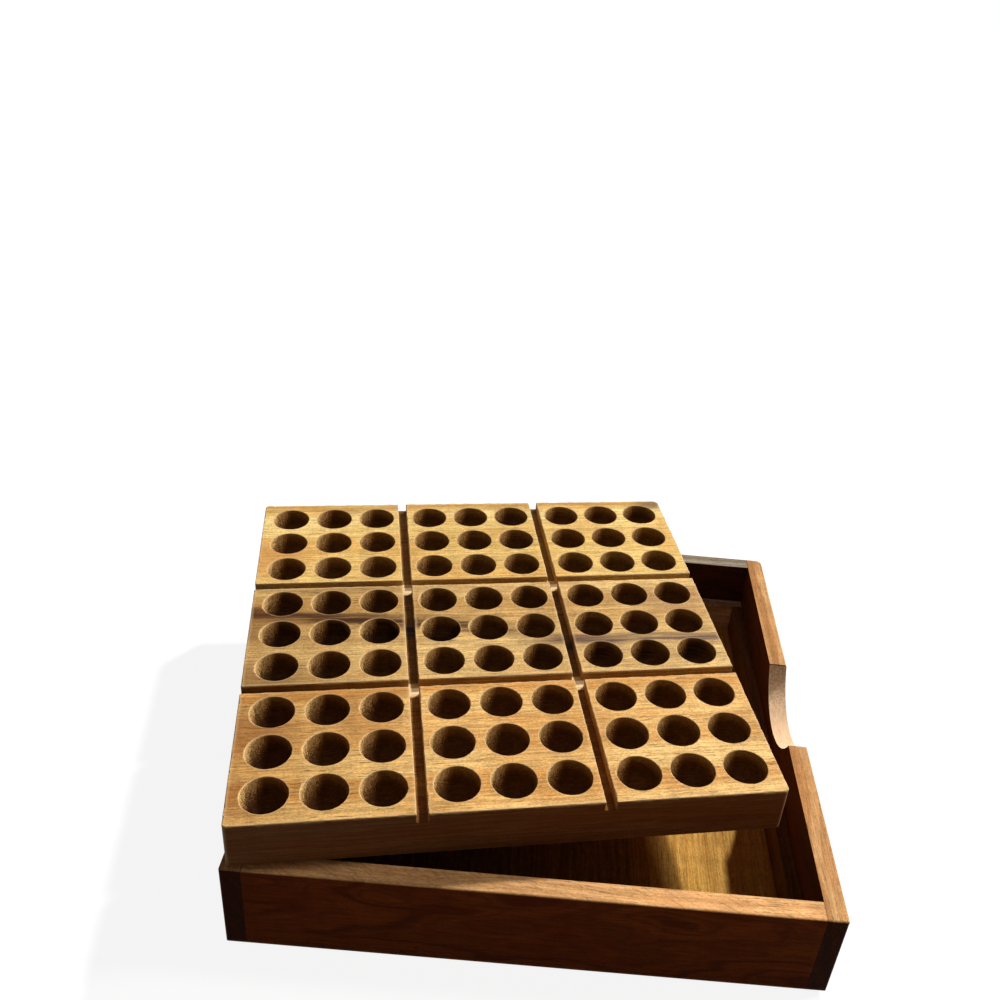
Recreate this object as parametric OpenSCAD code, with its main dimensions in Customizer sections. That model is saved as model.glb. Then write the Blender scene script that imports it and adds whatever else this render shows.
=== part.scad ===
// Wooden sudoku board: a slab with 81 round cups, lying askew on the open tray that it closes.
// Millimetres, +Z up. The origin is the middle of the tray's underside, and +Y points to its back.

/* [Tray] */
// Outer width and depth of the square tray
tray_w = 240; // [232:1:300]
// Height of the tray, from the table to its rim
tray_h = 45; // [40:1:60]
// Thickness of the four walls
wall_t = 8.5; // [6:0.5:10]
// Thickness of the floor panel
floor_t = 5; // [3:0.5:8]
// Rounding of the two upright corners in front
front_corner_r = 1.2; // [0.5:0.1:6]
// Rounding of the two upright corners behind
back_corner_r = 5; // [0.5:0.5:6]
// Rounding of the bottom edge
foot_r = 4; // [2:0.5:6]
// Rounding of the outer edge of the rim
rim_r = 1; // [0.5:0.25:1.5]

/* [Ledges] */
// Depth of the ledges below the rim
ledge_drop = 24; // [23:0.5:28]
// Width of the ledges that carry the closed board
ledge_w = 5.5; // [4:0.5:8]

/* [Finger notches] */
// Radius of the scoop in each side wall
notch_r = 32; // [24:1:60]
// Depth of the scoop below the rim
notch_depth = 17; // [10:0.5:20]

/* [Play board] */
// Gap between the closed board and each wall
board_gap = 1; // [1:0.25:3]
// Thickness of the slab
board_t = 22; // [18:0.5:28]
// Rounding of the slab's upright corners
board_corner_r = 1.8; // [1:0.2:4]
// Bevel along the slab's edges
arris = 0.6; // [0.4:0.1:1.5]

/* [Cups and grooves] */
// Diameter of a cup at the top
cup_d = 18.4; // [15:0.2:19]
// Upright part of a cup above its round bottom
cup_straight = 4; // [1:0.5:5]
// Wood between neighbouring cups in a block of nine
cup_wall = 4.2; // [2:0.1:4.2]
// Width of the grooves between the blocks
groove_w = 4.3; // [2:0.1:5]
// Depth of the grooves
groove_d = 4.5; // [2:0.5:8]

/* [Resting place] */
// Sideways shift of the board, towards the right
board_x = -29.7; // [-40:0.1:40]
// Shift of the board, towards the back
board_y = 10.6; // [-40:0.1:40]
// Turn of the board against the tray
board_turn = 10.9; // [-45:0.1:45]

/* [Hidden] */
$fn = 96;
inner_w = tray_w - 2 * wall_t;
ledge_top = tray_h - ledge_drop;
ledge_h = ledge_top - floor_t;
board_w = inner_w - 2 * board_gap;
block = board_w / 3;
cup_r = cup_d / 2;
cup_pitch = cup_d + cup_wall;
notch_axis_z = tray_h - notch_depth + notch_r;
past = 1;
wood_walls = [0.48, 0.27, 0.12];
wood_ends = [0.42, 0.24, 0.11];
wood_floor = [0.60, 0.38, 0.16];
wood_ledges = [0.52, 0.31, 0.14];
wood_front_plank = [0.78, 0.52, 0.25];
wood_middle_plank = [0.66, 0.43, 0.22];
wood_back_plank = [0.78, 0.57, 0.27];

// A square in plan, centred on the origin, with its own rounding for the front and the back corners
module round_square(w, front_r, back_r) {
  half = w / 2;
  translate([-half, -half + front_r])
    square([w, w - front_r - back_r]);
  translate([-half + front_r, -half])
    square([w - 2 * front_r, half]);
  translate([-half + back_r, 0])
    square([w - 2 * back_r, half]);
  for (x = [-1, 1]) {
    translate([x * (half - front_r), -half + front_r])
      circle(front_r);
    translate([x * (half - back_r), half - back_r])
      circle(back_r);
  }
}

// The tray's outline from the side: round at the bottom, eased at the rim
module tray_outline() {
  half = tray_w / 2;
  translate([-half + foot_r, 0])
    square([tray_w - 2 * foot_r, foot_r + past]);
  translate([-half, foot_r])
    square([tray_w, tray_h - foot_r - rim_r]);
  translate([-half + rim_r, tray_h - 2 * rim_r])
    square([tray_w - 2 * rim_r, 2 * rim_r]);
  for (x = [-1, 1]) {
    translate([x * (half - foot_r), foot_r])
      circle(foot_r);
    translate([x * (half - rim_r), tray_h - rim_r])
      circle(rim_r);
  }
}

// The slab's outline from the side, with its edges bevelled
module board_outline() {
  w = board_w / 2;
  polygon([
    [-w + arris, 0], [w - arris, 0], [w, arris], [w, board_t - arris],
    [w - arris, board_t], [-w + arris, board_t], [-w, board_t - arris], [-w, arris],
  ]);
}

// An outline drawn in the front view, over a length from front to back
module front_profile(length) {
  rotate([90, 0, 0])
    linear_extrude(length, center = true)
      children();
}

// Everything inside the tray's outer faces
module tray_envelope() {
  intersection() {
    linear_extrude(tray_h)
      round_square(tray_w, front_corner_r, back_corner_r);
    front_profile(tray_w + 2 * past)
      tray_outline();
    rotate(90)
      front_profile(tray_w + 2 * past)
        tray_outline();
  }
}

// A scoop through a side wall, on one level axis along X
module finger_notch() {
  translate([0, 0, notch_axis_z])
    rotate([0, 90, 0])
      cylinder(r = notch_r, h = 2 * wall_t, center = true);
}

// A wall between the two side walls, y_side -1 in front and 1 behind
module cross_wall(y_side) {
  intersection() {
    tray_envelope();
    translate([-inner_w / 2, y_side * (tray_w - wall_t) / 2 - wall_t / 2, 0])
      cube([inner_w, wall_t, tray_h]);
  }
}

// A wall over the tray's full depth, with its finger notch, x_side -1 left and 1 right
module side_wall(x_side) {
  difference() {
    intersection() {
      tray_envelope();
      translate([x_side * (tray_w - wall_t) / 2 - wall_t / 2, -tray_w / 2, 0])
        cube([wall_t, tray_w, tray_h]);
    }
    translate([x_side * (tray_w - wall_t) / 2, 0, 0])
      finger_notch();
  }
}

// A batten on the floor along a wall, as long as it is told
module ledge(length) {
  translate([-length / 2, -inner_w / 2, floor_t])
    cube([length, ledge_w, ledge_h]);
}

// The slab before the cups and grooves are cut
module board_blank() {
  intersection() {
    linear_extrude(board_t)
      round_square(board_w, board_corner_r, board_corner_r);
    front_profile(board_w + 2 * past)
      board_outline();
    rotate(90)
      front_profile(board_w + 2 * past)
        board_outline();
  }
}

// The space of one cup: a half ball with a short upright wall above it
module cup() {
  rotate_extrude()
    union() {
      intersection() {
        circle(cup_r);
        translate([0, -cup_r])
          square([cup_r, cup_r]);
      }
      square([cup_r, cup_straight + past]);
    }
}

// Twenty-seven cups, in three blocks of nine
module cup_rows() {
  for (block_x = [-1, 0, 1], col = [-1, 0, 1], row = [-1, 0, 1])
    translate([block_x * block + col * cup_pitch, row * cup_pitch, board_t - cup_straight])
      cup();
}

// The saw cuts from front to back between the blocks
module cross_grooves() {
  for (x = [-1, 1])
    translate([x * block / 2 - groove_w / 2, -board_w / 2 - past, board_t - groove_d])
      cube([groove_w, board_w + 2 * past, groove_d + past]);
}

// The saw cuts from left to right, which lie over the glue lines of the planks
module long_grooves() {
  for (y = [-1, 1])
    translate([-board_w / 2 - past, y * block / 2 - groove_w / 2, board_t - groove_d])
      cube([board_w + 2 * past, groove_w, groove_d + past]);
}

// One of the three glued planks where the board rests, place -1 in front to 1 behind
module plank(place) {
  translate([board_x, board_y, tray_h])
    rotate(board_turn)
      difference() {
        intersection() {
          board_blank();
          translate([-board_w / 2, (place - 0.5) * block, 0])
            cube([board_w, block, board_t]);
        }
        translate([0, place * block, 0])
          cup_rows();
        cross_grooves();
        long_grooves();
      }
}

module front_wall() { color(wood_walls) cross_wall(-1); }
module back_wall() { color(wood_walls) cross_wall(1); }
module left_wall() { color(wood_ends) side_wall(-1); }
module right_wall() { color(wood_ends) side_wall(1); }

module floor_panel() {
  color(wood_floor)
    translate([-inner_w / 2, -inner_w / 2, 0])
      cube([inner_w, inner_w, floor_t]);
}

module front_ledge() { color(wood_ledges) ledge(inner_w); }
module back_ledge() { color(wood_ledges) rotate(180) ledge(inner_w); }
module left_ledge() { color(wood_ledges) rotate(-90) ledge(inner_w - 2 * ledge_w); }
module right_ledge() { color(wood_ledges) rotate(90) ledge(inner_w - 2 * ledge_w); }

module front_plank() { color(wood_front_plank) plank(-1); }
module middle_plank() { color(wood_middle_plank) plank(0); }
module back_plank() { color(wood_back_plank) plank(1); }

front_wall();
back_wall();
left_wall();
right_wall();
floor_panel();
front_ledge();
back_ledge();
left_ledge();
right_ledge();
front_plank();
middle_plank();
back_plank();
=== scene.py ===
import math
from collections import namedtuple

import bpy
import numpy as np
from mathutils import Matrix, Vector
from mathutils.geometry import delaunay_2d_cdt


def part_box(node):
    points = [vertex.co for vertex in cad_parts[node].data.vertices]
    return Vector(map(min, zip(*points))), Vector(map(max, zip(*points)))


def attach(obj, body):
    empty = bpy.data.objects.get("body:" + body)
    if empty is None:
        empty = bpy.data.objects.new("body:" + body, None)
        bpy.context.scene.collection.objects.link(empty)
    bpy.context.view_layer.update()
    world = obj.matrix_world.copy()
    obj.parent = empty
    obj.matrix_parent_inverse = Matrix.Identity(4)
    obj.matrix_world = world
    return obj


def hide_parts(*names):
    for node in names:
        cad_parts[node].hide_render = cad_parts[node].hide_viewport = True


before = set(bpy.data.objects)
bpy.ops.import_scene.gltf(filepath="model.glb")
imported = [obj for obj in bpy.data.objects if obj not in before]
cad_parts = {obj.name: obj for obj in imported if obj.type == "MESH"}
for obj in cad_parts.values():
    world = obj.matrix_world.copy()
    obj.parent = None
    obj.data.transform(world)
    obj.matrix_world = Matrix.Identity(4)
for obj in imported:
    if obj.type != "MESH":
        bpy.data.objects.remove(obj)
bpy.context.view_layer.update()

# The board's place and sizes, in metres, as the solids have them
BOARD_AT = Vector((-0.0297, 0.0106))
BOARD_TURN = math.radians(10.9)
BOARD_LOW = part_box("middle_plank")[0].z
BOARD_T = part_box("middle_plank")[1].z - BOARD_LOW
BOARD_W = 0.221
# Upright corners by column and row: the back right one is worn rounder
BOARD_CORNERS = {(-1, -1): 0.0018, (1, -1): 0.0018, (1, 1): 0.0032, (-1, 1): 0.002}
BOARD_ARRIS = 0.0006
BLOCK = BOARD_W / 3
CUP_R = 0.0092
CUP_STRAIGHT = 0.004
CUP_DEPTH = CUP_STRAIGHT + CUP_R
CUP_WALL = 0.0042
CUP_PITCH = 2 * CUP_R + CUP_WALL
GROOVE_W = 0.0043
GROOVE_DEPTH = 0.0045
GROOVE_FLOOR = BOARD_T - GROOVE_DEPTH

# The tray's rim and inner faces, from its solids
RIM_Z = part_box("right_wall")[1].z
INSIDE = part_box("front_wall")[1].x

# The islands' outlines: how finely they are drawn, and how far a point may move inwards without a fold,
# as a share of the nearest corner's radius and of the way from that corner
OUTLINE_STEP = 0.0006
ARC_STEPS = 5
SHARP_CORNER = 0.0006
CORNER_ROOM = 0.75
EDGE_ROOM = 0.8

# The islands' uneven arris and its torn chips, in metres. The saw tears more chips where it cuts across
# the grain
ARRIS = 0.0004
ARRIS_LEAST = 0.00012
ARRIS_UNEVEN = 0.9
ARRIS_SLOPE = 1.15
ARRIS_DROP_MOST = 0.0009
# Its rows from the wall to the top: how far in and down, as shares of its width and drop, the state wear,
# and how much of the states cut and side is left
ARRIS_ROWS = ((0.0, 1.0, 0.8, 0.6), (0.3, 0.35, 1.0, 0.2), (1.0, 0.0, 0.8, 0.0))
CHIPS_ACROSS = 26
CHIPS_ALONG = 9
CHIP_LEAST = 0.0004
CHIP_MORE = 0.0008
CHIP_LEAD = (0.0002, 0.0005)
CHIP_TAIL = (0.0005, 0.0016)
CHIP_LIMIT = 0.0010
# Height over which the wear of an edge fades out, and how far groove walls reach below the groove floors
WEAR_BAND = 0.0006
UNDERLAP = 0.0001

# The cups' fineness, eased rims, nicks and torn walls, in metres and radians
CUP_SIDES = 96
CUP_RINGS = 12
RIM_BEVEL = 0.00028
RIM_TEAR = 0.00022
RIM_LEAST = 0.00008
RIM_MOST = 0.0007
RIM_MARGIN = 0.0004
# Rows of the rim: how far out and down, as shares of its width and bevel, and the states cup and wear there
RIM_ROWS = ((1.0, 0.0, 0.02, 1.0), (0.35, 0.45, 0.04, 0.8), (0.0, 1.3, 0.06, 0.3))
NICK_SIZE = 0.0011
NICK_MOST = 0.0014
NICK_ANGLE = 0.10
WALL_TEAR = 0.00016
WALL_RIDGE = 0.00006
CUP_ANGLES = np.arange(CUP_SIDES) * 2 * math.pi / CUP_SIDES
CUP_AWAY = np.stack([np.cos(CUP_ANGLES), np.sin(CUP_ANGLES)], axis=1)
# The drill tears the end grain, so the left and right of a cup are rough and its front and back clean
CUP_TORN = np.abs(CUP_AWAY[:, 0]) ** 1.5

SEED = 81


def to_frame(points):
    """Board coordinates (to the right, to the back, up from the slab's underside) as the shared frame's."""
    p = np.asarray(points, float)
    c, s = math.cos(BOARD_TURN), math.sin(BOARD_TURN)
    x = BOARD_AT.x + c * p[:, 0] - s * p[:, 1]
    y = BOARD_AT.y + s * p[:, 0] + c * p[:, 1]
    return np.stack([x, y, BOARD_LOW + p[:, 2]], axis=1)


class Shell:
    """The vertices and faces of one piece, with the states of the wood's surface at each vertex: wear, how
    far an edge is worn pale; cup, how deep in a cup, from 0 at its rim to 1; cut, 1 in the grooves; and
    side, 1 on the board's outer sides."""

    STATES = ("wear", "cup", "cut", "side")

    def __init__(self):
        self.points, self.faces, self.smooth = [], [], []
        self.states = {name: [] for name in self.STATES}

    def loop(self, plan, z, **states):
        """Adds a row of vertices over the points of a plan at the height z, and gives their numbers."""
        plan = np.asarray(plan, float)
        first, count = len(self.points), len(plan)
        heights = np.broadcast_to(z, count)
        self.points.extend((x, y, h) for (x, y), h in zip(plan, heights))
        for name in self.STATES:
            self.states[name].extend(np.broadcast_to(states.get(name, 0.0), count))
        return np.arange(first, first + count)

    def skirt(self, low, high, smooth=False):
        """Quads between two closed rows that run anticlockwise, the first one lower."""
        for a, b, c, d in zip(low, np.roll(low, -1), np.roll(high, -1), high):
            self.face((a, b, c, d), smooth)

    def face(self, corners, smooth=False):
        self.faces.append([int(i) for i in corners])
        self.smooth.append(smooth)

    def build(self, name, material):
        mesh = bpy.data.meshes.new(name)
        mesh.from_pydata([tuple(p) for p in to_frame(self.points)], [], self.faces)
        mesh.polygons.foreach_set("use_smooth", self.smooth)
        for state, values in self.states.items():
            mesh.attributes.new(state, "FLOAT", "POINT").data.foreach_set("value", values)
        mesh.materials.append(material)
        mesh.validate()
        mesh.update()
        piece = bpy.data.objects.new(name, mesh)
        bpy.context.scene.collection.objects.link(piece)
        return piece


def rounded_rectangle(low, high, radii):
    """Points round a rectangle, anticlockwise from its front left corner, their outward directions, and how
    far each may move inwards before the row would cross itself at a corner.
    radii are those of the front left, front right, back right and back left corners."""
    corners = [(low[0], low[1], 1, 1), (high[0], low[1], -1, 1),
               (high[0], high[1], -1, -1), (low[0], high[1], 1, -1)]
    arcs = []
    for i, (x, y, to_x, to_y) in enumerate(corners):
        angles = math.pi * (1 + i / 2) + np.linspace(0, math.pi / 2, ARC_STEPS + 1)
        away = np.stack([np.cos(angles), np.sin(angles)], axis=1)
        arcs.append((np.array([x + to_x * radii[i], y + to_y * radii[i]]) + radii[i] * away, away))
    points, outward, room = [], [], []
    for i, (arc, away) in enumerate(arcs):
        following = (i + 1) % 4
        at_start, at_end = CORNER_ROOM * radii[i], CORNER_ROOM * radii[following]
        points.extend(arc)
        outward.extend(away)
        room.extend([at_start] * len(arc))
        start, end = arc[-1], arcs[following][0][0]
        length = np.linalg.norm(end - start)
        count = max(2, round(length / OUTLINE_STEP))
        for k in range(1, count):
            gone = length * k / count
            points.append(start + (end - start) * k / count)
            outward.append(away[-1])
            room.append(min(at_start + EDGE_ROOM * gone, at_end + EDGE_ROOM * (length - gone)))
    return np.array(points), np.array(outward), np.array(room)


def smoothed(values, reach):
    """Values averaged with their neighbours round a closed row."""
    kernel = np.hanning(2 * reach + 3)[1:-1]
    wrapped = np.concatenate([values[-reach:], values, values[:reach]])
    return np.convolve(wrapped, kernel / kernel.sum(), "valid")


def chipped_arris(points, outward, room, rng):
    """The bevel's width at each point of an island's edge: a fine uneven arris with torn chips, each with a
    short steep side and a long shallow one."""
    width = ARRIS * (1 + ARRIS_UNEVEN * smoothed(rng.standard_normal(len(points)), 4))
    run = np.concatenate([[0], np.cumsum(np.linalg.norm(np.diff(points, axis=0), axis=1))])
    for axis, chips in ((0, CHIPS_ACROSS), (1, CHIPS_ALONG)):
        edges = np.flatnonzero(np.abs(outward[:, axis]) > 0.9)
        for at in rng.choice(edges, chips):
            size = CHIP_LEAST + CHIP_MORE * rng.random() ** 2
            lead, tail = rng.uniform(*CHIP_LEAD), rng.uniform(*CHIP_TAIL)
            off = run - run[at]
            fall = np.where(off < 0, -off / lead, off / tail)
            width = np.maximum(width, size * np.clip(1 - fall, 0, 1))
    return np.clip(width, ARRIS_LEAST, np.minimum(room, CHIP_LIMIT))


def cup_rim(rng, nick):
    """The width of a cup's eased rim at each of its sides. nick is the angle of a larger chip, or None."""
    rim = RIM_BEVEL * (1 + 0.5 * smoothed(rng.standard_normal(CUP_SIDES), 2))
    rim += RIM_TEAR * CUP_TORN * np.clip(rng.standard_normal(CUP_SIDES), 0, 2)
    if nick is None:
        return np.clip(rim, RIM_LEAST, RIM_MOST)
    off = (CUP_ANGLES - nick + math.pi) % (2 * math.pi) - math.pi
    rim += NICK_SIZE * np.clip(1 - np.abs(off) / NICK_ANGLE, 0, 1)
    return np.clip(rim, RIM_LEAST, NICK_MOST)


def add_cup(shell, centre, rng, nick):
    """Adds one cup, with its torn walls, and gives the ring of top surface round it and its rim."""
    def ring(radius, z, cup, wear=0.0):
        return shell.loop(centre + CUP_AWAY * np.reshape(radius, (-1, 1)), z, cup=cup, wear=wear)

    rim = cup_rim(rng, nick)
    margin = ring(CUP_R + rim + RIM_MARGIN, BOARD_T, 0.0)
    rows = [ring(CUP_R + out * rim, BOARD_T - down * RIM_BEVEL, cup, wear)
            for out, down, cup, wear in RIM_ROWS]
    rough = WALL_TEAR * CUP_TORN * rng.standard_normal(CUP_SIDES)
    rows.append(ring(CUP_R + rough, BOARD_T - CUP_STRAIGHT / 2, 0.5 * CUP_STRAIGHT / CUP_DEPTH))
    for k in range(CUP_RINGS):
        tilt = math.pi / 2 * k / CUP_RINGS
        uneven = WALL_RIDGE * rng.standard_normal() + WALL_TEAR * rng.standard_normal(CUP_SIDES)
        rough = CUP_TORN * uneven * math.cos(tilt)
        z = BOARD_T - CUP_STRAIGHT - CUP_R * math.sin(tilt)
        rows.append(ring(CUP_R * math.cos(tilt) + rough, z, (BOARD_T - z) / CUP_DEPTH))
    for high, low in zip(rows, rows[1:]):
        shell.skirt(high, low, smooth=True)
    pole = shell.loop([centre], BOARD_T - CUP_DEPTH, cup=1.0)[0]
    last = rows[-1]
    for a, b in zip(last, np.roll(last, -1)):
        shell.face((a, b, pole), smooth=True)
    return margin, rows[0]


def fill_top(shell, loops, centres, rims):
    """Triangulates the top between the closed rows in loops, leaving the cups open."""
    millimetres = 1000
    order = np.concatenate(loops)
    plan = [Vector(shell.points[i][:2]) * millimetres for i in order]
    edges, start = [], 0
    for loop in loops:
        n = len(loop)
        edges.extend((start + i, start + (i + 1) % n) for i in range(n))
        start += n
    points, _, faces, origins, _, _ = delaunay_2d_cdt(plan, edges, [], 1, 1e-5)
    number = [int(order[o[0]]) if o else int(shell.loop([p / millimetres], BOARD_T)[0])
              for o, p in zip(origins, points)]
    middles = np.array([np.mean([points[i] for i in f], axis=0) for f in faces]) / millimetres
    inside = np.zeros(len(faces), bool)
    for centre, rim in zip(centres, rims):
        reach = np.array([shell.points[i][:2] for i in rim]) - centre
        radius = np.hypot(reach[:, 0], reach[:, 1])
        off = middles - centre
        turn = (np.arctan2(off[:, 1], off[:, 0]) % (2 * math.pi)) / (2 * math.pi) * CUP_SIDES
        rim_there = np.interp(turn, np.arange(CUP_SIDES + 1), np.append(radius, radius[0]))
        inside |= np.hypot(off[:, 0], off[:, 1]) < rim_there
    for f, in_cup in zip(faces, inside):
        if not in_cup:
            shell.face([number[i] for i in f])


def upright_wear(outward):
    """How far an upright edge has worn pale: 1 in the middle of a corner's rounding, 0 on flat sides."""
    return np.clip(2 * np.abs(outward[:, 0] * outward[:, 1]), 0, 1) ** 2


def groove_sides(outward, col, row):
    """1 where the outline of the island at col and row faces a groove, and 0 on the board's outside."""
    to_groove = np.zeros(len(outward))
    for axis, at in ((0, col), (1, row)):
        for sign in (-1, 1):
            if at != sign:
                to_groove = np.maximum(to_groove, (outward[:, axis] * sign > 0.75).astype(float))
    return to_groove


def add_island(shell, col, row, rng, nicks):
    """Adds one raised block of nine cups, col and row from -1 to 1, down to the groove floors."""
    half, gap = BLOCK / 2, GROOVE_W / 2
    low = [-BOARD_W / 2 if at == -1 else at * BLOCK - half + gap for at in (col, row)]
    high = [BOARD_W / 2 if at == 1 else at * BLOCK + half - gap for at in (col, row)]
    radii = [radius if (col, row) == corner else SHARP_CORNER for corner, radius in BOARD_CORNERS.items()]
    plan, outward, room = rounded_rectangle(low, high, radii)
    cut = groove_sides(outward, col, row)
    side = 1 - cut
    width = chipped_arris(plan, outward, room, rng)
    clear = CHIP_LIMIT + WEAR_BAND
    within = rounded_rectangle([v + clear for v in low], [v - clear for v in high], [SHARP_CORNER] * 4)[0]
    drop = np.minimum(width * ARRIS_SLOPE, ARRIS_DROP_MOST)
    state = {"cut": cut, "side": side, "wear": upright_wear(outward) * side}
    foot = shell.loop(plan, GROOVE_FLOOR - UNDERLAP * cut, **state)
    band = shell.loop(plan, BOARD_T - drop - WEAR_BAND, **state)
    wall, ease, edge = (
        shell.loop(plan - outward * (share * width)[:, None], BOARD_T - down * drop,
                   wear=wear, cut=cut * left, side=side * left)
        for share, down, wear, left in ARRIS_ROWS)
    inner = shell.loop(within, BOARD_T)
    shell.skirt(foot, band)
    shell.skirt(band, wall)
    shell.skirt(wall, ease, smooth=True)
    shell.skirt(ease, edge, smooth=True)
    centres, margins, rims = [], [], []
    for j in (-1, 0, 1):
        for i in (-1, 0, 1):
            centre = np.array([col * BLOCK + i * CUP_PITCH, row * BLOCK + j * CUP_PITCH])
            margin, rim = add_cup(shell, centre, rng, nicks.get((col, row, i, j)))
            centres.append(centre)
            margins.append(margin)
            rims.append(rim)
    fill_top(shell, [edge, inner, *margins, *rims], centres, rims)


def add_base(shell, place):
    """Adds the plank's lower part, with the groove floors on it; the islands stand on the rest."""
    low = (-BOARD_W / 2, (place - 0.5) * BLOCK)
    high = (BOARD_W / 2, (place + 0.5) * BLOCK)
    radii = [radius if row == place else UNDERLAP for (_, row), radius in BOARD_CORNERS.items()]
    plan, outward, _ = rounded_rectangle(low, high, radii)
    glued = (outward[:, 1] * place < -0.5) | ((place == 0) & (np.abs(outward[:, 1]) > 0.5))
    bevel = np.where(glued, 0.0, BOARD_ARRIS)
    worn = upright_wear(outward)
    under = shell.loop(plan - outward * bevel[:, None], 0.0, wear=0.5)
    turn = shell.loop(plan, bevel, side=1.0, wear=0.5)
    band = shell.loop(plan, bevel + WEAR_BAND, side=1.0, wear=worn)
    top = shell.loop(plan, GROOVE_FLOOR, side=1.0, wear=worn)
    shell.face(under[::-1])
    shell.skirt(under, turn, smooth=True)
    shell.skirt(turn, band)
    shell.skirt(band, top)
    gap = GROOVE_W / 2
    front = low[1] + (gap if place > -1 else 0)
    back = high[1] - (gap if place < 1 else 0)
    strips = [((x * BLOCK / 2 - gap, front), (x * BLOCK / 2 + gap, back)) for x in (-1, 1)]
    if place > -1:
        strips.append((low, (high[0], low[1] + gap)))
    if place < 1:
        strips.append(((low[0], high[1] - gap), high))
    for (x0, y0), (x1, y1) in strips:
        shell.face(shell.loop([(x0, y0), (x1, y0), (x1, y1), (x0, y1)], GROOVE_FLOOR, cut=1.0))


def plank(name, place, material, nicks):
    """One of the board's three glued planks, with its three islands, in place of its solid. place is -1 in
    front to 1 behind. nicks are the angles of the larger chips at rims, by the island's col and row and the
    cup's col and row in it."""
    rng = np.random.default_rng(SEED + place)
    shell = Shell()
    add_base(shell, place)
    for col in (-1, 0, 1):
        add_island(shell, col, place, rng, nicks)
    piece = shell.build(name, material)
    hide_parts(name.replace("carved_", ""))
    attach(piece, "board")


def srgb(*values):
    """A colour from its 0 to 255 screen values, as linear light."""
    parts = [v / 255 for v in values]
    return tuple(p / 12.92 if p <= 0.04045 else ((p + 0.055) / 1.055) ** 2.4 for p in parts) + (1.0,)


# The board's colours: sides in painted shade, cups' left end grain and groove crossings in painted light,
# worn edges
PAINTED_SIDE_SHADE = srgb(130, 66, 33)
PAINTED_LIT_END_GRAIN = srgb(192, 130, 70)
PAINTED_HIGHLIGHT_END_GRAIN = srgb(250, 200, 126)
PAINTED_LIT_FIBRE = srgb(255, 220, 152)
DARK_PIT = srgb(84, 46, 18)
PAINTED_CROSSING_LIGHT = srgb(250, 218, 166)
WORN_WOOD = srgb(232, 194, 140)
# Painted shade: how bright the wood is below a cup's rim and in its depth, on the walls and floors of the
# grooves, at their crossings, where the floor is painted lighter, and on the sides
CUP_SHADE_TONES = (0.42, 0.14)
CUT_WALL_SHADE = 0.72
CUT_FLOOR_SHADE = 0.35
CROSSING_LIGHT_TONE = 0.95
SIDE_SHADE_TONE = 0.60
# Distances from a crossing's middle between which the painted pool of light on its floor fades out
CROSSING_REACH = (0.0048, 0.0036)
# How far the streaks and smudges waver
FIGURE_WAVER = 0.012

# The tray's colours: outside, inside in painted shade, end grain, a painted highlight along the foot,
# sanded and weathered tops, and the notches, sanded and painted paler as painted light
WALL_LIGHT = srgb(160, 76, 28)
WALL_DEEP = srgb(102, 43, 17)
WALL_PORE = srgb(46, 22, 10)
WALL_BLOTCH = srgb(128, 48, 18)
# Painted shade: the walls' inner faces darker, the back wall's darkest
INSIDE_SHADE = srgb(90, 58, 34)
FAR_INSIDE_SHADE = srgb(46, 36, 20)
END_WOOD = srgb(43, 18, 5)
# Painted highlight: a pale band along the foot, where the rounded bottom edge catches light
PAINTED_FOOT_HIGHLIGHT = srgb(150, 92, 52)
SANDED_RIM = (srgb(222, 169, 111), srgb(189, 132, 79))
WEATHERED_RIM = (srgb(164, 150, 130), srgb(136, 118, 96))
SCUFF_MARK = srgb(120, 78, 46)
SCUFF_SPECK = srgb(246, 228, 200)
SEAM_WOOD = srgb(92, 56, 32)
# Sanded, and painted paler as painted light: the finger notch
NOTCH_SANDED_AND_LIT = srgb(243, 206, 164)
# Heights over the table between which the painted highlight along the foot fades out
FOOT_HIGHLIGHT_BAND = (0.0042, 0.0012)
# Distances along the wall from its middle between which the notch's sanded, painted-paler colour fades out,
# just past its ends
NOTCH_ENDS = (0.0290, 0.0284)
# Distances from the joint of two walls at which the dark seam has faded out, and is darkest
SEAM_HALF = (0.00040, 0.00012)

# How far the growth rings wander, slowly and finely, and the depth of the fibres and open pores
GRAIN_DRIFT = 0.022
GRAIN_WAVE = 0.0035
BUMP_DEPTH = 0.00025
# Roughness and specular level of the board, the walls, and the floor panel and ledges
BOARD_FINISH = (0.46, 0.05)
WALL_FINISH = (0.50, 0.015)
BARE_FINISH = (0.62, 0.03)


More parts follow.
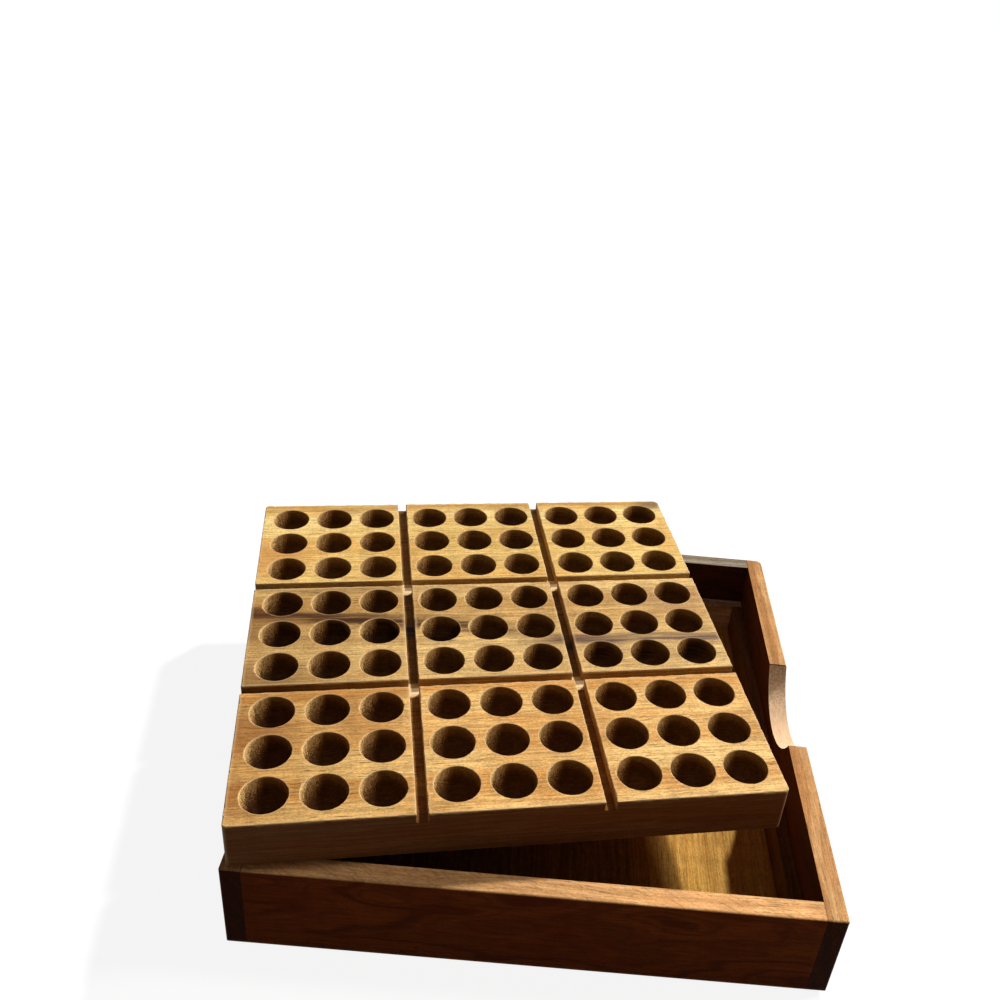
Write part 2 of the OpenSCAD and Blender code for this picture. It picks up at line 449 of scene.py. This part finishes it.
class Tree:
    """Short calls that add nodes to a material and give back their outputs."""

    def __init__(self, owner):
        owner.use_nodes = True
        self.tree = owner.node_tree
        self.tree.nodes.clear()

    def put(self, kind, inputs, out=0, **settings):
        node = self.tree.nodes.new(kind)
        for name, value in settings.items():
            setattr(node, name, value)
        for key, value in inputs.items():
            if isinstance(value, bpy.types.NodeSocket):
                self.tree.links.new(value, node.inputs[key])
            else:
                node.inputs[key].default_value = value
        return node.outputs[out] if node.outputs else None

    def math(self, operation, a, b=0.0, clamp=False):
        return self.put("ShaderNodeMath", {0: a, 1: b}, operation=operation, use_clamp=clamp)

    def plus(self, a, b):
        return self.math("ADD", a, b)

    def minus(self, a, b):
        return self.math("SUBTRACT", a, b)

    def times(self, first, *others):
        for other in others:
            first = self.math("MULTIPLY", first, other)
        return first

    def size(self, value):
        """The value without its sign."""
        return self.math("ABSOLUTE", value)

    def sway(self, noise, width):
        """A noise moved to both sides of zero, over about this width."""
        return self.times(self.minus(noise, 0.5), width)

    def blend(self, amount, a, b):
        return self.put("ShaderNodeMix", {0: amount, 2: a, 3: b}, data_type="FLOAT")

    def mix(self, amount, a, b, blend="MIX"):
        return self.put("ShaderNodeMix", {0: amount, 6: a, 7: b}, out=2, data_type="RGBA", blend_type=blend)

    def shaded(self, colour, tone):
        """The colour made darker or brighter by a tone, the same in red, green and blue."""
        grey = self.put("ShaderNodeCombineColor", {0: tone, 1: tone, 2: tone})
        return self.mix(1.0, colour, grey, blend="MULTIPLY")

    def stretch(self, vector, x, y, z):
        return self.put("ShaderNodeVectorMath", {0: vector, 1: (x, y, z)}, operation="MULTIPLY")

    def parts(self, vector):
        """The x, y and z of a vector."""
        return tuple(self.put("ShaderNodeSeparateXYZ", {0: vector}).node.outputs)

    def noise(self, vector, detail=2.0, roughness=0.5):
        return self.put("ShaderNodeTexNoise", {"Vector": vector, "Scale": 1.0, "Detail": detail,
                                               "Roughness": roughness})

    def noise_1d(self, value, detail=2.0, roughness=0.5):
        return self.put("ShaderNodeTexNoise", {"W": value, "Scale": 1.0, "Detail": detail,
                                               "Roughness": roughness}, noise_dimensions="1D")

    def step(self, value, start, end, low=0.0, high=1.0):
        """low where the value is before start, high past end, and a soft change between them."""
        limits = {"From Min": start, "From Max": end, "To Min": low, "To Max": high}
        return self.put("ShaderNodeMapRange", {"Value": value, **limits}, interpolation_type="SMOOTHSTEP")

    def state(self, name):
        return self.put("ShaderNodeAttribute", {}, out=2, attribute_name=name, attribute_type="GEOMETRY")

    def place(self):
        return self.put("ShaderNodeTexCoord", {}, out=3)


def grain(t, at, turn, pith, rings):
    """The wood's own coordinates, u along the grain and v across it, and its patterns. at and turn say
    where those coordinates begin and which way they run, pith is the middle of the growth rings across the
    grain and up, and rings is how many noise steps a metre of growth has."""
    local = t.put("ShaderNodeMapping", {"Vector": t.place(), "Location": at, "Rotation": (0, 0, turn)},
                  vector_type="TEXTURE")
    u, v, z = t.parts(local)
    drift = t.noise(t.stretch(local, 9, 30, 30))
    wave = t.noise(t.stretch(local, 26, 90, 90))
    warp = t.plus(t.sway(drift, GRAIN_DRIFT), t.sway(wave, GRAIN_WAVE))
    across = t.plus(t.minus(v, pith[0]), warp)
    up = t.minus(z, pith[1])
    radius = t.math("SQRT", t.plus(t.times(across, across), t.times(up, up)))
    return {
        "local": local, "u": u, "v": v,
        "growth": t.noise_1d(t.times(radius, rings), detail=3, roughness=0.55),
        "fine": t.noise_1d(t.times(radius, rings * 7), detail=1),
        "fibre": t.noise(t.stretch(local, 45, 1300, 1300), detail=3, roughness=0.6),
        "pores": t.noise(t.stretch(local, 190, 2300, 2300), detail=1, roughness=0.4),
        "blotch": t.noise(t.stretch(local, 22, 38, 38), detail=3),
        "ripple": t.noise(t.stretch(local, 170, 30, 30)),
        "tears": t.noise(t.stretch(local, 1300, 1500, 2100), roughness=0.6),
        "flecks": t.noise(t.stretch(local, 1100, 1700, 1700), detail=3, roughness=0.7),
        "strands": t.noise(t.stretch(local, 16, 300, 300), detail=3, roughness=0.6),
    }


def wood_colour(t, g, light, deep, pore, pore_amount, blotch, contrast=0.15):
    """The plain wood's colour, and the pores' mask. contrast is how much its fine fibres differ in
    brightness."""
    band = t.step(t.plus(g["growth"], t.sway(g["fine"], 0.25)), 0.36, 0.66)
    colour = t.mix(band, light, deep)
    colour = t.mix(t.times(t.step(g["blotch"], 0.42, 0.68), 0.55), colour, blotch)
    fibres = t.step(g["fibre"], 0.3, 0.7, 0.96 - contrast, 0.98 + contrast)
    flecks = t.step(g["flecks"], 0.32, 0.68, 1.0 - contrast, 1.0 + contrast)
    ripple = t.step(g["ripple"], 0.3, 0.7, 0.94, 1.06)
    colour = t.shaded(colour, t.times(fibres, flecks, ripple))
    mask = t.times(t.step(g["pores"], 0.64, 0.71), t.step(g["blotch"], 0.30, 0.62, 1.0, 0.45))
    return t.mix(t.times(mask, pore_amount), colour, pore), mask


def facing(t, turn):
    """How squarely the surface faces along the grain (end grain, negative towards its start), and how level
    it is."""
    normal = t.put("ShaderNodeNewGeometry", {}, out=3)
    along = (math.cos(turn), math.sin(turn), 0)
    end = t.put("ShaderNodeVectorMath", {0: normal, 1: along}, out=1, operation="DOT_PRODUCT")
    return end, t.size(t.parts(normal)[2])


def finish_wood(t, g, colour, mask, roughness, specular, rough=0.0):
    """The surface: satin wood with open pores and raised fibre. rough adds torn fibre where the saw left
    it."""
    torn = t.noise(t.stretch(g["local"], 1500, 1900, 1900), detail=3, roughness=0.65)
    relief = t.minus(t.times(g["fibre"], 0.45), mask)
    relief = t.plus(relief, t.times(torn, 3.0, rough))
    bump = t.put("ShaderNodeBump", {"Strength": 0.7, "Distance": BUMP_DEPTH, "Height": relief})
    satin = t.step(g["fibre"], 0.3, 0.7, roughness + 0.07, roughness - 0.05)
    satin = t.plus(satin, t.times(mask, 0.2))
    surface = t.put("ShaderNodeBsdfPrincipled", {"Base Color": colour, "Roughness": satin, "Normal": bump,
                                                 "Specular IOR Level": specular})
    t.put("ShaderNodeOutputMaterial", {"Surface": surface})


# A soft dark band along the grain: its place at the board's middle, slope and half width, the places
# between which it fades out, its colour and strength
Streak = namedtuple("Streak", "at slope half fade_from fade_to tint strength")
# A soft stain: its place along and across the board, size, colour and strength
Smudge = namedtuple("Smudge", "u v size tint strength")


def figured(t, g, colour, streaks, smudges):
    """The colour with the plank's own streaks and smudges over it."""
    waver = t.sway(t.noise(t.stretch(g["local"], 14, 5, 5)), FIGURE_WAVER)
    for streak in streaks:
        line = t.plus(t.times(g["u"], streak.slope), streak.at)
        off = t.size(t.plus(t.minus(g["v"], line), waver))
        soft = t.step(t.plus(off, t.sway(g["fine"], streak.half)), streak.half, 0.15 * streak.half)
        broken = t.step(g["strands"], 0.36, 0.58, 0.45, 1.0)
        fade = t.step(g["u"], streak.fade_from, streak.fade_to, streak.strength, 0.0)
        colour = t.mix(t.times(soft, broken, fade), colour, streak.tint)
    longer = 0.6
    for smudge in smudges:
        plan = t.stretch(g["local"], longer, 1, 0)
        reach = t.put("ShaderNodeVectorMath", {0: plan, 1: (longer * smudge.u, smudge.v, 0)}, out=1,
                      operation="DISTANCE")
        spot = t.step(t.plus(reach, waver), smudge.size, 0.2 * smudge.size, 0.0, smudge.strength)
        colour = t.mix(spot, colour, smudge.tint)
    return colour


def paint_cup_light(t, g, colour, in_cup, cup, end):
    """The colour with painted light in the cups: the torn end grain of their left walls, which face the
    light, painted pale, palest at the rim and fading with depth, and pitted.
    """
    painted_light_wall = t.times(in_cup, t.step(end, 0.05, 0.60))
    painted_light_lower = t.times(painted_light_wall, t.step(cup, 0.84, 0.20))
    painted_light_upper = t.times(painted_light_wall, t.step(cup, 0.56, 0.08))
    colour = t.mix(t.times(painted_light_lower, 0.85), colour, PAINTED_LIT_END_GRAIN)
    colour = t.mix(t.times(painted_light_upper, 0.95), colour, PAINTED_HIGHLIGHT_END_GRAIN)
    fibres = t.times(painted_light_lower, t.step(g["tears"], 0.50, 0.60, 0.0, 0.9))
    colour = t.mix(fibres, colour, PAINTED_LIT_FIBRE)
    # Dark pits of torn grain, only within the painted light on the left walls
    pits = t.times(painted_light_wall, t.step(g["tears"], 0.46, 0.38, 0.0, 0.6))
    return t.mix(pits, colour, DARK_PIT)


def plank_wood(name, light, deep, pore, blotch, pith, rings, pore_amount, tones, streaks=(), smudges=()):
    """Wood of one of the board's planks. tones are how bright its left end, middle and right end are:
    partly the wood's own tone, partly painted light falling off towards the left.
    """
    material = bpy.data.materials.new(name)
    t = Tree(material)
    g = grain(t, (BOARD_AT.x, BOARD_AT.y, BOARD_LOW), BOARD_TURN, pith, rings)
    colour, mask = wood_colour(t, g, light, deep, pore, pore_amount, blotch, contrast=0.24)
    colour = figured(t, g, colour, streaks, smudges)
    end, flat = facing(t, BOARD_TURN)
    cup, cut, side, wear = (t.state(s) for s in ("cup", "cut", "side", "wear"))
    in_cup = t.step(cup, 0.0, 0.06)
    off_grooves = (t.size(t.minus(t.size(g[axis]), BLOCK / 2)) for axis in "uv")
    crossing = t.step(t.math("MAXIMUM", *off_grooves), *CROSSING_REACH)

    # Partly the plank's own tone, partly painted light: brightness falling off towards the left end
    left, middle, right = tones
    tone = t.plus(t.step(g["u"], -0.40 * BOARD_W, -0.02 * BOARD_W, left, middle),
                  t.step(g["u"], 0.02 * BOARD_W, 0.40 * BOARD_W, 0.0, right - middle))
    # Painted shade: the cups darker below the rim and darkest in their depth
    cup_shade = t.step(cup, 0.03, 0.50, *CUP_SHADE_TONES)
    # Painted shade: the groove walls and floors darker, the floors less so by the crossings
    cut_shade = t.blend(flat, CUT_WALL_SHADE, t.blend(crossing, CUT_FLOOR_SHADE, CROSSING_LIGHT_TONE))
    shade = t.times(t.blend(in_cup, 1.0, cup_shade), t.blend(cut, 1.0, cut_shade),
                    t.blend(side, tone, SIDE_SHADE_TONE))
    warm = t.put("ShaderNodeCombineColor", {0: shade, 1: t.math("POWER", shade, 1.18),
                                            2: t.math("POWER", shade, 1.45)})
    colour = t.mix(1.0, colour, warm, blend="MULTIPLY")

    # Painted shade: the board's outer sides turned dark and reddish, with a little grain left in
    grained_side_shade = t.mix(t.step(g["fibre"], 0.35, 0.65), PAINTED_SIDE_SHADE, colour)
    colour = t.mix(t.times(side, 0.80), colour, t.mix(0.85, grained_side_shade, PAINTED_SIDE_SHADE))
    # Painted light: the cups' left walls, which face the light, painted pale and fading with depth
    colour = paint_cup_light(t, g, colour, in_cup, cup, end)
    # Painted light: a pale pool on the groove floors just by each crossing
    crossing_light_pool = t.times(crossing, cut, t.step(flat, 0.5, 0.9))
    colour = t.mix(t.times(crossing_light_pool, 0.85), colour, PAINTED_CROSSING_LIGHT)
    colour = t.mix(t.times(wear, 0.45), colour, WORN_WOOD)
    rough = t.plus(t.times(in_cup, t.step(end, 0.2, 0.8)), t.times(cut, 0.4))
    finish_wood(t, g, colour, mask, *BOARD_FINISH, rough=rough)
    return material


def rim_colour(t, g, place, rim, tones, scuffs):
    """The colour of a wall's top, brighter or darker to left and right by its tones as painted light, with
    its scuffs and the dark seams where two walls meet.
    """
    light, deep = rim
    colour, _ = wood_colour(t, g, light, deep, WALL_PORE, 0.5, deep)
    x, y, _ = t.parts(place)
    # Painted light: the rim brighter towards the right, by its tones
    colour = t.shaded(colour, t.step(x, -0.02, 0.07, *tones))
    slant = t.put("ShaderNodeMapping", {"Vector": place, "Rotation": (0, 0, math.radians(32))},
                  vector_type="POINT")
    marks = t.step(t.noise(t.stretch(slant, 90, 1100, 400)), 0.52, 0.66)
    specks = t.step(t.noise(t.stretch(place, 700, 1300, 1300), detail=3, roughness=0.65), 0.56, 0.70)
    colour = t.mix(t.times(marks, 0.30 * scuffs), colour, SCUFF_MARK)
    colour = t.mix(t.times(specks, 0.28 * scuffs), colour, SCUFF_SPECK)
    off_seam = t.size(t.minus(t.size(x), INSIDE))
    on_walls = t.step(t.size(y), INSIDE - 0.0002, INSIDE + 0.0002, 0.0, 0.6)
    return t.mix(t.times(t.step(off_seam, *SEAM_HALF), on_walls), colour, SEAM_WOOD)


def notch_colour(t, g, place, end, streak):
    """The colour inside a finger notch: sanded and painted paler as painted light, and mottled where it
    shows end grain.
    """
    mottled = t.step(t.noise(t.stretch(place, 900, 900, 900)), 0.35, 0.65, 0.90, 1.24)
    colour = t.shaded(NOTCH_SANDED_AND_LIT, t.blend(t.step(end, 0.30, 0.45), 1.0, mottled))
    return t.mix(t.step(g["fibre"], 0.35, 0.65, 0.25, 0.0), colour, streak)


def tray_wood(name, turn, rim, pith, rings, inside, tones=(1.0, 1.0), scuffs=0.0):
    """Wood of a tray wall: dark and reddish outside, darker inside as painted shade, pale along its foot as
    a painted highlight, pale on top where it was sanded, and pale in the finger notch, sanded and painted
    paler as painted light. rim is its light and deep colour on top and in the notch, inside its
    painted-shade colour inside the tray, tones are how bright the left and right of its rim are, brighter
    to the right as painted light, and scuffs how rough that rim is."""
    material = bpy.data.materials.new(name)
    t = Tree(material)
    g = grain(t, (0, 0, 0), turn, pith, rings)
    colour, mask = wood_colour(t, g, WALL_LIGHT, WALL_DEEP, WALL_PORE, 0.6, WALL_BLOTCH)
    end, flat = facing(t, turn)
    end = t.size(end)
    place = t.place()
    x, y, z = t.parts(place)
    off_x, off_y = t.size(x), t.size(y)

    # Painted shade: the inner faces darker
    inner_face = t.step(t.math("MAXIMUM", off_x, off_y), INSIDE + 0.0015, INSIDE + 0.0005)
    colour = t.mix(t.times(inner_face, t.step(flat, 0.5, 0.3), 0.80), colour, inside)
    # Painted highlight: a pale band along the foot
    foot = t.times(t.step(z, *FOOT_HIGHLIGHT_BAND), t.step(g["fibre"], 0.25, 0.6, 0.25, 0.6))
    colour = t.mix(foot, colour, PAINTED_FOOT_HIGHLIGHT)
    colour = t.mix(t.times(t.step(end, 0.5, 0.95), 0.86), colour, END_WOOD)

    level = t.step(flat, 0.25, 0.8)
    on_top = t.times(level, t.step(z, RIM_Z - 0.003, RIM_Z - 0.001))
    colour = t.mix(on_top, colour, rim_colour(t, g, place, rim, tones, scuffs))
    # Sanded, and painted paler as painted light: the finger notch
    in_notch = t.times(t.step(off_y, *NOTCH_ENDS), t.step(z, RIM_Z - 0.0002, RIM_Z - 0.0008),
                       t.step(flat, 0.15, 0.35))
    colour = t.mix(in_notch, colour, notch_colour(t, g, place, end, rim[1]))
    finish_wood(t, g, colour, mask, *WALL_FINISH, rough=t.times(t.step(end, 0.3, 0.9), level))
    return material


def inner_wood(name, turn, tones, pith, rings, darker=None):
    """Bare sanded wood of the floor panel and the ledges. tones are its light, deep and pore colours, and
    darker is where a darker part, painted shade, starts and ends, and its brightness."""
    material = bpy.data.materials.new(name)
    t = Tree(material)
    g = grain(t, (0, 0, 0), turn, pith, rings)
    light, deep, pore = tones
    colour, mask = wood_colour(t, g, light, deep, pore, 0.55, deep, contrast=0.20)
    # Painted shade: the floor darker where the board hangs over it
    if darker:
        colour = t.shaded(colour, t.step(g["v"], *darker, 1.0))
    finish_wood(t, g, colour, mask, *BARE_FINISH)
    return material


def dress(node, material):
    """Gives a CAD node its wood."""
    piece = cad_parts[node]
    piece.data.materials.clear()
    piece.data.materials.append(material)


# Camera, where the photograph was taken from: metres, degrees, and millimetres for the sensor and lens
CAMERA_AT = (-0.01342, -0.37679, 0.37718)
CAMERA_TURNS = (59.176, -4.589, 2.152)
SENSOR_WIDTH = 36
LENS = 37.268
FRAME_SHIFT = (-0.04446, -0.01366)
camera = bpy.data.objects.new("camera", bpy.data.cameras.new("camera"))
camera.location = CAMERA_AT
camera.rotation_euler = [math.radians(a) for a in CAMERA_TURNS]
camera.data.sensor_width = SENSOR_WIDTH
camera.data.lens = LENS
camera.data.shift_x, camera.data.shift_y = FRAME_SHIFT
camera.data.clip_start = 0.01
bpy.context.scene.collection.objects.link(camera)
bpy.context.scene.camera = camera
bpy.context.scene.view_settings.view_transform = "Standard"

# The board
# Each plank's tones darken its left end, partly its own tone and partly painted light falloff
front_wood = plank_wood(
    "front_plank_wood", light=srgb(240, 193, 121), deep=srgb(218, 158, 86), pore=srgb(116, 68, 28),
    blotch=srgb(198, 138, 70), pith=(0.02, -0.16), rings=160, pore_amount=0.85, tones=(0.75, 1.02, 1.07),
    smudges=(Smudge(-0.109, -0.062, 0.020, srgb(150, 88, 44), 0.60),
             Smudge(-0.109, -0.098, 0.014, srgb(156, 96, 50), 0.45),
             Smudge(-0.060, -0.060, 0.012, srgb(176, 112, 56), 0.35)))
middle_wood = plank_wood(
    "middle_plank_wood", light=srgb(226, 186, 119), deep=srgb(194, 147, 84), pore=srgb(96, 58, 28),
    blotch=srgb(201, 155, 95), pith=(-0.03, -0.20), rings=170, pore_amount=0.7, tones=(0.82, 1.02, 1.10),
    streaks=(Streak(-0.0010, -0.15, 0.0078, 0.00, 0.03, srgb(74, 42, 24), 1.0),
             Streak(-0.0105, -0.01, 0.0056, 0.035, 0.005, srgb(104, 76, 62), 1.0),
             Streak(0.0300, -0.05, 0.0050, -0.05, 0.02, srgb(124, 82, 48), 0.45),
             Streak(-0.0130, -0.10, 0.0040, 0.20, 0.30, srgb(140, 102, 68), 0.30)),
    smudges=(Smudge(-0.108, 0.006, 0.020, srgb(112, 66, 36), 0.45),
             Smudge(-0.104, -0.032, 0.022, srgb(120, 74, 40), 0.60),
             Smudge(0.095, 0.018, 0.018, srgb(150, 112, 84), 0.35)))
back_wood = plank_wood(
    "back_plank_wood", light=srgb(243, 210, 137), deep=srgb(223, 180, 103), pore=srgb(120, 78, 34),
    blotch=srgb(216, 160, 84), pith=(0.05, -0.14), rings=150, pore_amount=0.7, tones=(1.06, 1.00, 1.18),
    streaks=(Streak(0.1075, 0.0, 0.0050, 0.20, 0.30, srgb(160, 104, 52), 0.55),),
    smudges=(Smudge(0.106, 0.107, 0.009, srgb(104, 80, 56), 0.75),
             Smudge(-0.108, 0.060, 0.022, srgb(184, 116, 60), 0.55)))
NICKS = {(-1, -1, 1, -1): -0.12, (-1, -1, 1, 1): 0.05, (0, -1, 1, 0): 0.1}
plank("carved_front_plank", -1, front_wood, NICKS)
plank("carved_middle_plank", 0, middle_wood, NICKS)
plank("carved_back_plank", 1, back_wood, NICKS)

# The tray's walls
# The front rim's tones are painted light, brighter towards the right
front_wall_wood = tray_wood("tray_wood_front", turn=0.0, rim=SANDED_RIM, pith=(0.3, 0.06), rings=210,
                            inside=INSIDE_SHADE, tones=(0.96, 1.42), scuffs=1.0)
back_wall_wood = tray_wood("tray_wood_back", turn=0.0, rim=WEATHERED_RIM, pith=(0.3, 0.06), rings=210,
                           inside=FAR_INSIDE_SHADE)
side_wall_wood = tray_wood("tray_wood_sides", turn=math.pi / 2, rim=SANDED_RIM, pith=(0.3, -0.05),
                           rings=190, inside=INSIDE_SHADE, scuffs=0.25)
dress("front_wall", front_wall_wood)
dress("back_wall", back_wall_wood)
dress("left_wall", side_wall_wood)
dress("right_wall", side_wall_wood)

# The tray's floor panel and ledges
FLOOR_TONES = (srgb(204, 156, 76), srgb(184, 134, 62), srgb(110, 70, 34))
LEDGE_TONES = (srgb(124, 84, 48), srgb(102, 66, 36), srgb(70, 44, 26))
BACK_LEDGE_TONES = (srgb(214, 188, 156), srgb(184, 154, 120), srgb(110, 78, 50))
LEDGE_PITH = (0.3, -0.1)
LEDGE_RINGS = 160
# The floor's darker part is painted shade under the board
floor_wood = inner_wood("floor_wood", math.pi / 2, FLOOR_TONES, pith=(-0.19, -0.03), rings=240,
                        darker=(-0.038, -0.060, 0.40))
side_ledge_wood = inner_wood("ledge_wood_sides", math.pi / 2, LEDGE_TONES, LEDGE_PITH, LEDGE_RINGS)
front_ledge_wood = inner_wood("ledge_wood_front", 0.0, LEDGE_TONES, LEDGE_PITH, LEDGE_RINGS)
back_ledge_wood = inner_wood("ledge_wood_back", 0.0, BACK_LEDGE_TONES, LEDGE_PITH, LEDGE_RINGS)
dress("floor_panel", floor_wood)
dress("front_ledge", front_ledge_wood)
dress("back_ledge", back_ledge_wood)
dress("left_ledge", side_ledge_wood)
dress("right_ledge", side_ledge_wood)


def seen_rays(t):
    """1 for the rays that should see a white surrounding, 0 for the light that falls on the object."""
    by_camera = t.put("ShaderNodeLightPath", {}, out="Is Camera Ray")
    by_gloss = t.put("ShaderNodeLightPath", {}, out="Is Glossy Ray")
    through_glass = t.put("ShaderNodeLightPath", {}, out="Is Transmission Ray")
    return t.math("ADD", t.math("ADD", by_camera, by_gloss, clamp=True), through_glass, clamp=True)


# Pale floor, which keeps a light shadow: grey to the light on the object, and white to the camera
FLOOR_HALF = 4.0
FLOOR_PLAIN = (0.12, 0.12, 0.12, 1)
FLOOR_SHOWN = (0.18, 0.18, 0.18, 1)
FLOOR_GLOW = 0.89
WHITE = (1, 1, 1, 1)
floor_mesh = bpy.data.meshes.new("floor")
floor_corners = [(x * FLOOR_HALF, y * FLOOR_HALF, 0) for x, y in ((-1, -1), (1, -1), (1, 1), (-1, 1))]
floor_mesh.from_pydata(floor_corners, [], [(0, 1, 2, 3)])
floor = bpy.data.objects.new("floor", floor_mesh)
bpy.context.scene.collection.objects.link(floor)
floor_white = bpy.data.materials.new("floor_white")
t = Tree(floor_white)
plain = t.put("ShaderNodeBsdfDiffuse", {"Color": FLOOR_PLAIN})
shown = t.put("ShaderNodeBsdfDiffuse", {"Color": FLOOR_SHOWN})
glow = t.put("ShaderNodeEmission", {"Color": WHITE, "Strength": FLOOR_GLOW})
paler = t.put("ShaderNodeAddShader", {0: glow, 1: shown})
surface = t.put("ShaderNodeMixShader", {0: seen_rays(t), 1: plain, 2: paler})
t.put("ShaderNodeOutputMaterial", {"Surface": surface})
floor_mesh.materials.append(floor_white)

# White surroundings and a soft fill
FILL_STRENGTH = 0.08
WHITE_STRENGTH = 1.0
world = bpy.data.worlds.new("world")
bpy.context.scene.world = world
t = Tree(world)
fill = t.put("ShaderNodeBackground", {"Color": WHITE, "Strength": FILL_STRENGTH})
white = t.put("ShaderNodeBackground", {"Color": WHITE, "Strength": WHITE_STRENGTH})
surface = t.put("ShaderNodeMixShader", {0: seen_rays(t), 1: fill, 2: white})
t.put("ShaderNodeOutputWorld", {"Surface": surface})

# Two soft suns from the back right: where each comes from (turn, height), its strength and its width
SUNS = {"key": (53.0, 42.0, 3.45, 3.5), "second": (20.0, 46.0, 1.15, 9.0)}
for name, (turn, height, strength, width) in SUNS.items():
    lamp = bpy.data.lights.new(name, "SUN")
    lamp.energy = strength
    lamp.angle = math.radians(width)
    sun = bpy.data.objects.new(name, lamp)
    turn, height = math.radians(turn), math.radians(height)
    level = math.cos(height)
    toward = Vector((math.cos(turn) * level, math.sin(turn) * level, math.sin(height)))
    sun.rotation_euler = toward.to_track_quat("Z", "Y").to_euler()
    bpy.context.scene.collection.objects.link(sun)
